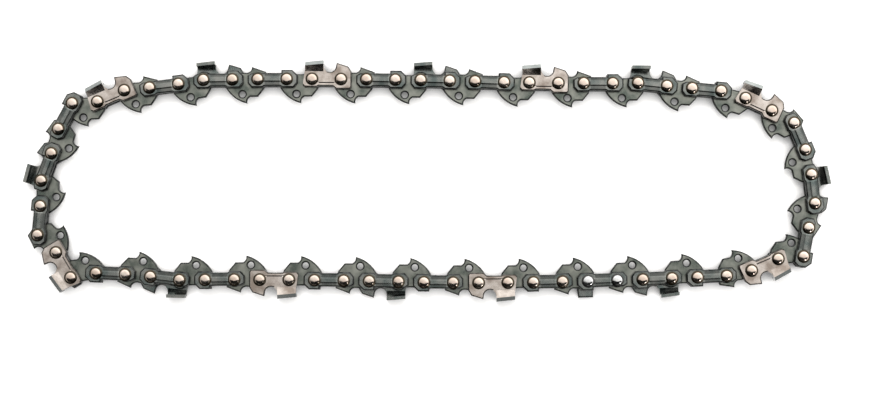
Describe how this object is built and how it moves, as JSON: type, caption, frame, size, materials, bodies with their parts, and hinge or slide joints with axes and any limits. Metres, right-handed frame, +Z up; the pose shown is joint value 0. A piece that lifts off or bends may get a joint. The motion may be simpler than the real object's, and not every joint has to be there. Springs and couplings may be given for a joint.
{
  "type": "chainsaw chain loop",
  "caption": "Closed riveted loop of saw chain, lying on its side: drive links with hooked tangs between pairs of side links, some of them cutters with depth gauges.",
  "frame": {"origin": "middle of the loop's box, on the surface it lies on", "axes": "+X along the loop, the way the upper run travels; +Y across the loop; +Z up, along the rivets"},
  "size_m": [0.2766, 0.0822, 0.0054],
  "materials": {
    "drive_steel": "blued, oiled steel, stamped",
    "strap_steel": "blued, oiled steel with bright rivets",
    "plated_steel": "cutter plated on its outer face",
    "rivet_steel": "tinted, polished rivet heads"
  },
  "bodies": {
    "cutter_near_01": {"cutter_near_01": "plated_steel"},
    "drive_link_01": {"drive_link_01": "drive_steel"},
    "tie_straps_02": {"tie_straps_02": "strap_steel"},
    "drive_link_02": {"drive_link_02": "drive_steel"},
    "cutter_far_03": {"cutter_far_03": "plated_steel"},
    "drive_link_03": {"drive_link_03": "drive_steel"},
    "tie_straps_04": {"tie_straps_04": "strap_steel"},
    "drive_link_04": {"drive_link_04": "drive_steel"},
    "cutter_near_05": {"cutter_near_05": "plated_steel"},
    "drive_link_05": {"drive_link_05": "drive_steel"},
    "tie_straps_and_drive_link_06": {"tie_straps_and_drive_link_06": "strap_steel"},
    "cutter_far_07": {"cutter_far_07": "plated_steel"},
    "drive_link_07": {"drive_link_07": "drive_steel"},
    "tie_straps_and_drive_link_08": {"tie_straps_and_drive_link_08": "strap_steel"},
    "cutter_near_09": {"cutter_near_09": "plated_steel"},
    "drive_link_09": {"drive_link_09": "drive_steel"},
    "tie_straps_and_drive_link_10": {"tie_straps_and_drive_link_10": "strap_steel"},
    "cutter_far_11": {"cutter_far_11": "plated_steel"},
    "drive_link_11": {"drive_link_11": "drive_steel"},
    "tie_straps_12": {"tie_straps_12": "strap_steel"},
    "drive_link_12": {"drive_link_12": "drive_steel"},
    "cutter_near_13": {"cutter_near_13": "plated_steel"},
    "drive_link_13": {"drive_link_13": "drive_steel"},
    "tie_straps_14": {"tie_straps_14": "strap_steel"},
    "drive_link_14": {"drive_link_14": "drive_steel"},
    "cutter_far_15": {"cutter_far_15": "plated_steel"},
    "drive_link_15": {"drive_link_15": "drive_steel"},
    "tie_straps_16": {"tie_straps_16": "strap_steel"},
    "drive_link_16": {"drive_link_16": "drive_steel"},
    "cutter_near_17": {"cutter_near_17": "plated_steel"},
    "drive_link_17": {"drive_link_17": "drive_steel"},
    "tie_straps_18": {"tie_straps_18": "strap_steel"},
    "drive_link_18": {"drive_link_18": "drive_steel"},
    "cutter_far_19": {"cutter_far_19": "plated_steel"},
    "drive_link_19": {"drive_link_19": "drive_steel"},
    "joining_link_20": {"joining_link_20": "strap_steel"},
    "drive_link_20": {"drive_link_20": "drive_steel"},
    "tie_straps_21": {"tie_straps_21": "strap_steel"},
    "drive_link_21": {"drive_link_21": "drive_steel"},
    "cutter_near_22": {"cutter_near_22": "plated_steel"},
    "drive_link_22": {"drive_link_22": "drive_steel"},
    "tie_straps_and_drive_link_23": {"tie_straps_and_drive_link_23": "strap_steel"},
    "cutter_far_24": {"cutter_far_24": "plated_steel"},
    "drive_link_24": {"drive_link_24": "drive_steel"},
    "tie_straps_and_drive_link_25": {"tie_straps_and_drive_link_25": "strap_steel"},
    "cutter_near_26": {"cutter_near_26": "plated_steel"},
    "drive_link_26": {"drive_link_26": "drive_steel"},
    "tie_straps_and_drive_link_27": {"tie_straps_and_drive_link_27": "strap_steel"},
    "cutter_far_28": {"cutter_far_28": "plated_steel"},
    "drive_link_28": {"drive_link_28": "drive_steel"},
    "tie_straps_29": {"tie_straps_29": "strap_steel"},
    "drive_link_29": {"drive_link_29": "drive_steel"},
    "cutter_near_30": {"cutter_near_30": "plated_steel"},
    "drive_link_30": {"drive_link_30": "drive_steel"},
    "tie_straps_31": {"tie_straps_31": "strap_steel"},
    "drive_link_31": {"drive_link_31": "drive_steel"},
    "cutter_far_32": {"cutter_far_32": "plated_steel"},
    "drive_link_32": {"drive_link_32": "drive_steel"},
    "tie_straps_33": {"tie_straps_33": "strap_steel"},
    "drive_link_33": {"drive_link_33": "drive_steel"}
  },
  "joints": [
    {"name": "rivet_32_front", "type": "hinge", "parent": "cutter_far_32", "child": "drive_link_32", "pos_m": [-0.12864, 0.0082, 0.0027], "axis": [0, 0, 1], "range_deg": [-5.17, 5.17]},
    {"name": "rivet_33_rear", "type": "hinge", "parent": "drive_link_32", "child": "tie_straps_33", "pos_m": [-0.12641, 0.0166, 0.0027], "axis": [0, 0, 1], "range_deg": [-5.2, 5.2]},
    {"name": "rivet_33_front", "type": "hinge", "parent": "tie_straps_33", "child": "drive_link_33", "pos_m": [-0.12189, 0.02547, 0.0027], "axis": [0, 0, 1], "range_deg": [-5.21, 5.21]},
    {"name": "rivet_01_rear", "type": "hinge", "parent": "drive_link_33", "child": "cutter_near_01", "pos_m": [-0.11323, 0.02611, 0.0027], "axis": [0, 0, 1], "range_deg": [-11.84, 11.84]},
    {"name": "rivet_01_front", "type": "hinge", "parent": "cutter_near_01", "child": "drive_link_01", "pos_m": [-0.10412, 0.03012, 0.0027], "axis": [0, 0, 1], "range_deg": [-11.84, 11.84]},
    {"name": "rivet_02_rear", "type": "hinge", "parent": "drive_link_01", "child": "tie_straps_02", "pos_m": [-0.09548, 0.03108, 0.0027], "axis": [0, 0, 1], "range_deg": [-7.45, 7.45]},
    {"name": "rivet_02_front", "type": "hinge", "parent": "tie_straps_02", "child": "drive_link_02", "pos_m": [-0.08563, 0.03243, 0.0027], "axis": [0, 0, 1], "range_deg": [-7.44, 7.44]},
    {"name": "rivet_03_rear", "type": "hinge", "parent": "drive_link_02", "child": "cutter_far_03", "pos_m": [-0.07707, 0.03393, 0.0027], "axis": [0, 0, 1], "range_deg": [-7.62, 7.62]},
    {"name": "rivet_03_front", "type": "hinge", "parent": "cutter_far_03", "child": "drive_link_03", "pos_m": [-0.06712, 0.03416, 0.0027], "axis": [0, 0, 1], "range_deg": [-7.63, 7.63]},
    {"name": "rivet_04_rear", "type": "hinge", "parent": "drive_link_03", "child": "tie_straps_04", "pos_m": [-0.05843, 0.03437, 0.0027], "axis": [0, 0, 1], "range_deg": [-7.64, 7.64]},
    {"name": "rivet_04_front", "type": "hinge", "parent": "tie_straps_04", "child": "drive_link_04", "pos_m": [-0.04848, 0.03449, 0.0027], "axis": [0, 0, 1], "range_deg": [-7.64, 7.64]},
    {"name": "rivet_05_rear", "type": "hinge", "parent": "drive_link_04", "child": "cutter_near_05", "pos_m": [-0.03979, 0.03461, 0.0027], "axis": [0, 0, 1], "range_deg": [-7.65, 7.65]},
    {"name": "rivet_05_front", "type": "hinge", "parent": "cutter_near_05", "child": "drive_link_05", "pos_m": [-0.02984, 0.03462, 0.0027], "axis": [0, 0, 1], "range_deg": [-7.65, 7.65]},
    {"name": "rivet_06_rear", "type": "hinge", "parent": "drive_link_05", "child": "tie_straps_and_drive_link_06", "pos_m": [-0.02115, 0.03465, 0.0027], "axis": [0, 0, 1], "range_deg": [-6.92, 6.92]},
    {"name": "rivet_07_rear", "type": "hinge", "parent": "tie_straps_and_drive_link_06", "child": "cutter_far_07", "pos_m": [-0.00251, 0.03453, 0.0027], "axis": [0, 0, 1], "range_deg": [-6.92, 6.92]},
    {"name": "rivet_07_front", "type": "hinge", "parent": "cutter_far_07", "child": "drive_link_07", "pos_m": [0.00743, 0.03438, 0.0027], "axis": [0, 0, 1], "range_deg": [-7.73, 7.73]},
    {"name": "rivet_08_rear", "type": "hinge", "parent": "drive_link_07", "child": "tie_straps_and_drive_link_08", "pos_m": [0.01612, 0.03428, 0.0027], "axis": [0, 0, 1], "range_deg": [-7.73, 7.73]},
    {"name": "rivet_09_rear", "type": "hinge", "parent": "tie_straps_and_drive_link_08", "child": "cutter_near_09", "pos_m": [0.03476, 0.03399, 0.0027], "axis": [0, 0, 1], "range_deg": [-7.67, 7.67]},
    {"name": "rivet_09_front", "type": "hinge", "parent": "cutter_near_09", "child": "drive_link_09", "pos_m": [0.04471, 0.03391, 0.0027], "axis": [0, 0, 1], "range_deg": [-7.67, 7.67]},
    {"name": "rivet_10_rear", "type": "hinge", "parent": "drive_link_09", "child": "tie_straps_and_drive_link_10", "pos_m": [0.0534, 0.03397, 0.0027], "axis": [0, 0, 1], "range_deg": [-6.78, 6.78]},
    {"name": "rivet_11_rear", "type": "hinge", "parent": "tie_straps_and_drive_link_10", "child": "cutter_far_11", "pos_m": [0.07204, 0.03421, 0.0027], "axis": [0, 0, 1], "range_deg": [-6.78, 6.78]},
    {"name": "rivet_11_front", "type": "hinge", "parent": "cutter_far_11", "child": "drive_link_11", "pos_m": [0.08194, 0.03328, 0.0027], "axis": [0, 0, 1], "range_deg": [-7.79, 7.79]},
    {"name": "rivet_12_rear", "type": "hinge", "parent": "drive_link_11", "child": "tie_straps_12", "pos_m": [0.09061, 0.03256, 0.0027], "axis": [0, 0, 1], "range_deg": [-7.79, 7.79]},
    {"name": "rivet_12_front", "type": "hinge", "parent": "tie_straps_12", "child": "drive_link_12", "pos_m": [0.10052, 0.03172, 0.0027], "axis": [0, 0, 1], "range_deg": [-7.92, 7.92]},
    {"name": "rivet_13_rear", "type": "hinge", "parent": "drive_link_12", "child": "cutter_near_13", "pos_m": [0.10887, 0.0293, 0.0027], "axis": [0, 0, 1], "range_deg": [-7.94, 7.94]},
    {"name": "rivet_13_front", "type": "hinge", "parent": "cutter_near_13", "child": "drive_link_13", "pos_m": [0.1179, 0.02513, 0.0027], "axis": [0, 0, 1], "range_deg": [-8.03, 8.03]},
    {"name": "rivet_14_rear", "type": "hinge", "parent": "drive_link_13", "child": "tie_straps_14", "pos_m": [0.12552, 0.02095, 0.0027], "axis": [0, 0, 1], "range_deg": [-7.49, 7.49]},
    {"name": "rivet_14_front", "type": "hinge", "parent": "tie_straps_14", "child": "drive_link_14", "pos_m": [0.12933, 0.01176, 0.0027], "axis": [0, 0, 1], "range_deg": [-7.64, 7.64]},
    {"name": "rivet_15_rear", "type": "hinge", "parent": "drive_link_14", "child": "cutter_far_15", "pos_m": [0.13133, 0.0033, 0.0027], "axis": [0, 0, 1], "range_deg": [-6.28, 6.28]},
    {"name": "rivet_32_rear", "type": "hinge", "parent": "cutter_far_32", "child": "drive_link_31", "pos_m": [-0.13188, -0.00121, 0.0027], "axis": [0, 0, 1], "range_deg": [-5.17, 5.17]},
    {"name": "rivet_31_front", "type": "hinge", "parent": "drive_link_31", "child": "tie_straps_31", "pos_m": [-0.13198, -0.0099, 0.0027], "axis": [0, 0, 1], "range_deg": [-5.36, 5.36]},
    {"name": "rivet_31_rear", "type": "hinge", "parent": "tie_straps_31", "child": "drive_link_30", "pos_m": [-0.13269, -0.01982, 0.0027], "axis": [0, 0, 1], "range_deg": [-5.35, 5.35]},
    {"name": "rivet_30_front", "type": "hinge", "parent": "drive_link_30", "child": "cutter_near_30", "pos_m": [-0.12628, -0.02568, 0.0027], "axis": [0, 0, 1], "range_deg": [-7.07, 7.07]},
    {"name": "rivet_30_rear", "type": "hinge", "parent": "cutter_near_30", "child": "drive_link_29", "pos_m": [-0.12107, -0.03416, 0.0027], "axis": [0, 0, 1], "range_deg": [-7.07, 7.07]},
    {"name": "rivet_29_front", "type": "hinge", "parent": "drive_link_29", "child": "tie_straps_29", "pos_m": [-0.11251, -0.03262, 0.0027], "axis": [0, 0, 1], "range_deg": [-8.14, 8.14]},
    {"name": "rivet_29_rear", "type": "hinge", "parent": "tie_straps_29", "child": "drive_link_28", "pos_m": [-0.10257, -0.03297, 0.0027], "axis": [0, 0, 1], "range_deg": [-8.12, 8.12]},
    {"name": "rivet_28_front", "type": "hinge", "parent": "drive_link_28", "child": "cutter_far_28", "pos_m": [-0.09391, -0.03364, 0.0027], "axis": [0, 0, 1], "range_deg": [-8.11, 8.11]},
    {"name": "rivet_28_rear", "type": "hinge", "parent": "cutter_far_28", "child": "tie_straps_and_drive_link_27", "pos_m": [-0.08401, -0.03466, 0.0027], "axis": [0, 0, 1], "range_deg": [-6.92, 6.92]},
    {"name": "rivet_27_rear", "type": "hinge", "parent": "tie_straps_and_drive_link_27", "child": "drive_link_26", "pos_m": [-0.06537, -0.03434, 0.0027], "axis": [0, 0, 1], "range_deg": [-6.93, 6.93]},
    {"name": "rivet_26_front", "type": "hinge", "parent": "drive_link_26", "child": "cutter_near_26", "pos_m": [-0.05668, -0.0343, 0.0027], "axis": [0, 0, 1], "range_deg": [-8.09, 8.09]},
    {"name": "rivet_26_rear", "type": "hinge", "parent": "cutter_near_26", "child": "tie_straps_and_drive_link_25", "pos_m": [-0.04673, -0.03425, 0.0027], "axis": [0, 0, 1], "range_deg": [-8.19, 8.19]},
    {"name": "rivet_25_rear", "type": "hinge", "parent": "tie_straps_and_drive_link_25", "child": "drive_link_24", "pos_m": [-0.02809, -0.03436, 0.0027], "axis": [0, 0, 1], "range_deg": [-8.21, 8.21]},
    {"name": "rivet_24_front", "type": "hinge", "parent": "drive_link_24", "child": "cutter_far_24", "pos_m": [-0.0194, -0.03447, 0.0027], "axis": [0, 0, 1], "range_deg": [-8.12, 8.12]},
    {"name": "rivet_24_rear", "type": "hinge", "parent": "cutter_far_24", "child": "tie_straps_and_drive_link_23", "pos_m": [-0.00945, -0.03455, 0.0027], "axis": [0, 0, 1], "range_deg": [-7.65, 7.65]},
    {"name": "rivet_23_rear", "type": "hinge", "parent": "tie_straps_and_drive_link_23", "child": "drive_link_22", "pos_m": [0.00919, -0.03471, 0.0027], "axis": [0, 0, 1], "range_deg": [-7.64, 7.64]},
    {"name": "rivet_22_front", "type": "hinge", "parent": "drive_link_22", "child": "cutter_near_22", "pos_m": [0.01788, -0.03471, 0.0027], "axis": [0, 0, 1], "range_deg": [-8.09, 8.09]},
    {"name": "rivet_22_rear", "type": "hinge", "parent": "cutter_near_22", "child": "drive_link_21", "pos_m": [0.02782, -0.03455, 0.0027], "axis": [0, 0, 1], "range_deg": [-8.09, 8.09]},
    {"name": "rivet_21_front", "type": "hinge", "parent": "drive_link_21", "child": "tie_straps_21", "pos_m": [0.03651, -0.03441, 0.0027], "axis": [0, 0, 1], "range_deg": [-8.08, 8.08]},
    {"name": "rivet_21_rear", "type": "hinge", "parent": "tie_straps_21", "child": "drive_link_20", "pos_m": [0.04646, -0.03408, 0.0027], "axis": [0, 0, 1], "range_deg": [-8.08, 8.08]},
    {"name": "rivet_20_front", "type": "hinge", "parent": "drive_link_20", "child": "joining_link_20", "pos_m": [0.05514, -0.03382, 0.0027], "axis": [0, 0, 1], "range_deg": [-8.09, 8.09]},
    {"name": "rivet_20_rear", "type": "hinge", "parent": "joining_link_20", "child": "drive_link_19", "pos_m": [0.06509, -0.03341, 0.0027], "axis": [0, 0, 1], "range_deg": [-8.09, 8.09]},
    {"name": "rivet_19_front", "type": "hinge", "parent": "drive_link_19", "child": "cutter_far_19", "pos_m": [0.07377, -0.03308, 0.0027], "axis": [0, 0, 1], "range_deg": [-8.09, 8.09]},
    {"name": "rivet_19_rear", "type": "hinge", "parent": "cutter_far_19", "child": "drive_link_18", "pos_m": [0.08371, -0.03259, 0.0027], "axis": [0, 0, 1], "range_deg": [-8.09, 8.09]},
    {"name": "rivet_18_front", "type": "hinge", "parent": "drive_link_18", "child": "tie_straps_18", "pos_m": [0.09239, -0.03218, 0.0027], "axis": [0, 0, 1], "range_deg": [-8.09, 8.09]},
    {"name": "rivet_18_rear", "type": "hinge", "parent": "tie_straps_18", "child": "drive_link_17", "pos_m": [0.10232, -0.0316, 0.0027], "axis": [0, 0, 1], "range_deg": [-8.11, 8.11]},
    {"name": "rivet_17_front", "type": "hinge", "parent": "drive_link_17", "child": "cutter_near_17", "pos_m": [0.1108, -0.0297, 0.0027], "axis": [0, 0, 1], "range_deg": [-7.31, 7.31]},
    {"name": "rivet_17_rear", "type": "hinge", "parent": "cutter_near_17", "child": "drive_link_16", "pos_m": [0.11989, -0.02566, 0.0027], "axis": [0, 0, 1], "range_deg": [-7.3, 7.3]},
    {"name": "rivet_16_front", "type": "hinge", "parent": "drive_link_16", "child": "tie_straps_16", "pos_m": [0.12854, -0.02478, 0.0027], "axis": [0, 0, 1], "range_deg": [-5.55, 5.55]},
    {"name": "rivet_16_rear", "type": "hinge", "parent": "tie_straps_16", "child": "drive_link_15", "pos_m": [0.13037, -0.015, 0.0027], "axis": [0, 0, 1], "range_deg": [-5.57, 5.57]}
  ],
  "couplings": [
    {"joint": "rivet_32_front", "follows": "rivet_15_rear", "ratio": 0.82314},
    {"joint": "rivet_33_rear", "follows": "rivet_15_rear", "ratio": -0.82698},
    {"joint": "rivet_33_front", "follows": "rivet_15_rear", "ratio": 0.82943},
    {"joint": "rivet_01_rear", "follows": "rivet_15_rear", "ratio": -1.884},
    {"joint": "rivet_01_front", "follows": "rivet_15_rear", "ratio": 1.8839},
    {"joint": "rivet_02_rear", "follows": "rivet_15_rear", "ratio": -1.1846},
    {"joint": "rivet_02_front", "follows": "rivet_15_rear", "ratio": 1.1845},
    {"joint": "rivet_03_rear", "follows": "rivet_15_rear", "ratio": -1.213},
    {"joint": "rivet_03_front", "follows": "rivet_15_rear", "ratio": 1.2134},
    {"joint": "rivet_04_rear", "follows": "rivet_15_rear", "ratio": -1.2157},
    {"joint": "rivet_04_front", "follows": "rivet_15_rear", "ratio": 1.2155},
    {"joint": "rivet_05_rear", "follows": "rivet_15_rear", "ratio": -1.2175},
    {"joint": "rivet_05_front", "follows": "rivet_15_rear", "ratio": 1.2179},
    {"joint": "rivet_06_rear", "follows": "rivet_15_rear", "ratio": -1.101},
    {"joint": "rivet_07_rear", "follows": "rivet_15_rear", "ratio": 1.1011},
    {"joint": "rivet_07_front", "follows": "rivet_15_rear", "ratio": -1.2301},
    {"joint": "rivet_08_rear", "follows": "rivet_15_rear", "ratio": 1.2307},
    {"joint": "rivet_09_rear", "follows": "rivet_15_rear", "ratio": -1.2205},
    {"joint": "rivet_09_front", "follows": "rivet_15_rear", "ratio": 1.2196},
    {"joint": "rivet_10_rear", "follows": "rivet_15_rear", "ratio": -1.0787},
    {"joint": "rivet_11_rear", "follows": "rivet_15_rear", "ratio": 1.0794},
    {"joint": "rivet_11_front", "follows": "rivet_15_rear", "ratio": -1.2399},
    {"joint": "rivet_12_rear", "follows": "rivet_15_rear", "ratio": 1.2396},
    {"joint": "rivet_12_front", "follows": "rivet_15_rear", "ratio": -1.2598},
    {"joint": "rivet_13_rear", "follows": "rivet_15_rear", "ratio": 1.2629},
    {"joint": "rivet_13_front", "follows": "rivet_15_rear", "ratio": -1.2777},
    {"joint": "rivet_14_rear", "follows": "rivet_15_rear", "ratio": 1.1915},
    {"joint": "rivet_14_front", "follows": "rivet_15_rear", "ratio": -1.216},
    {"joint": "rivet_32_rear", "follows": "rivet_15_rear", "ratio": 0.82293},
    {"joint": "rivet_31_front", "follows": "rivet_15_rear", "ratio": -0.85329},
    {"joint": "rivet_31_rear", "follows": "rivet_15_rear", "ratio": 0.85193},
    {"joint": "rivet_30_front", "follows": "rivet_15_rear", "ratio": -1.1245},
    {"joint": "rivet_30_rear", "follows": "rivet_15_rear", "ratio": 1.1251},
    {"joint": "rivet_29_front", "follows": "rivet_15_rear", "ratio": -1.2956},
    {"joint": "rivet_29_rear", "follows": "rivet_15_rear", "ratio": 1.2925},
    {"joint": "rivet_28_front", "follows": "rivet_15_rear", "ratio": -1.2906},
    {"joint": "rivet_28_rear", "follows": "rivet_15_rear", "ratio": 1.1017},
    {"joint": "rivet_27_rear", "follows": "rivet_15_rear", "ratio": -1.1019},
    {"joint": "rivet_26_front", "follows": "rivet_15_rear", "ratio": 1.2876},
    {"joint": "rivet_26_rear", "follows": "rivet_15_rear", "ratio": -1.3033},
    {"joint": "rivet_25_rear", "follows": "rivet_15_rear", "ratio": 1.306},
    {"joint": "rivet_24_front", "follows": "rivet_15_rear", "ratio": -1.2925},
    {"joint": "rivet_24_rear", "follows": "rivet_15_rear", "ratio": 1.2169},
    {"joint": "rivet_23_rear", "follows": "rivet_15_rear", "ratio": -1.2149},
    {"joint": "rivet_22_front", "follows": "rivet_15_rear", "ratio": 1.2873},
    {"joint": "rivet_22_rear", "follows": "rivet_15_rear", "ratio": -1.2876},
    {"joint": "rivet_21_front", "follows": "rivet_15_rear", "ratio": 1.2858},
    {"joint": "rivet_21_rear", "follows": "rivet_15_rear", "ratio": -1.286},
    {"joint": "rivet_20_front", "follows": "rivet_15_rear", "ratio": 1.2878},
    {"joint": "rivet_20_rear", "follows": "rivet_15_rear", "ratio": -1.2878},
    {"joint": "rivet_19_front", "follows": "rivet_15_rear", "ratio": 1.2868},
    {"joint": "rivet_19_rear", "follows": "rivet_15_rear", "ratio": -1.2869},
    {"joint": "rivet_18_front", "follows": "rivet_15_rear", "ratio": 1.2864},
    {"joint": "rivet_18_rear", "follows": "rivet_15_rear", "ratio": -1.2899},
    {"joint": "rivet_17_front", "follows": "rivet_15_rear", "ratio": 1.1629},
    {"joint": "rivet_17_rear", "follows": "rivet_15_rear", "ratio": -1.1608},
    {"joint": "rivet_16_front", "follows": "rivet_15_rear", "ratio": 0.88256},
    {"joint": "rivet_16_rear", "follows": "rivet_15_rear", "ratio": -0.88669}
  ]
}
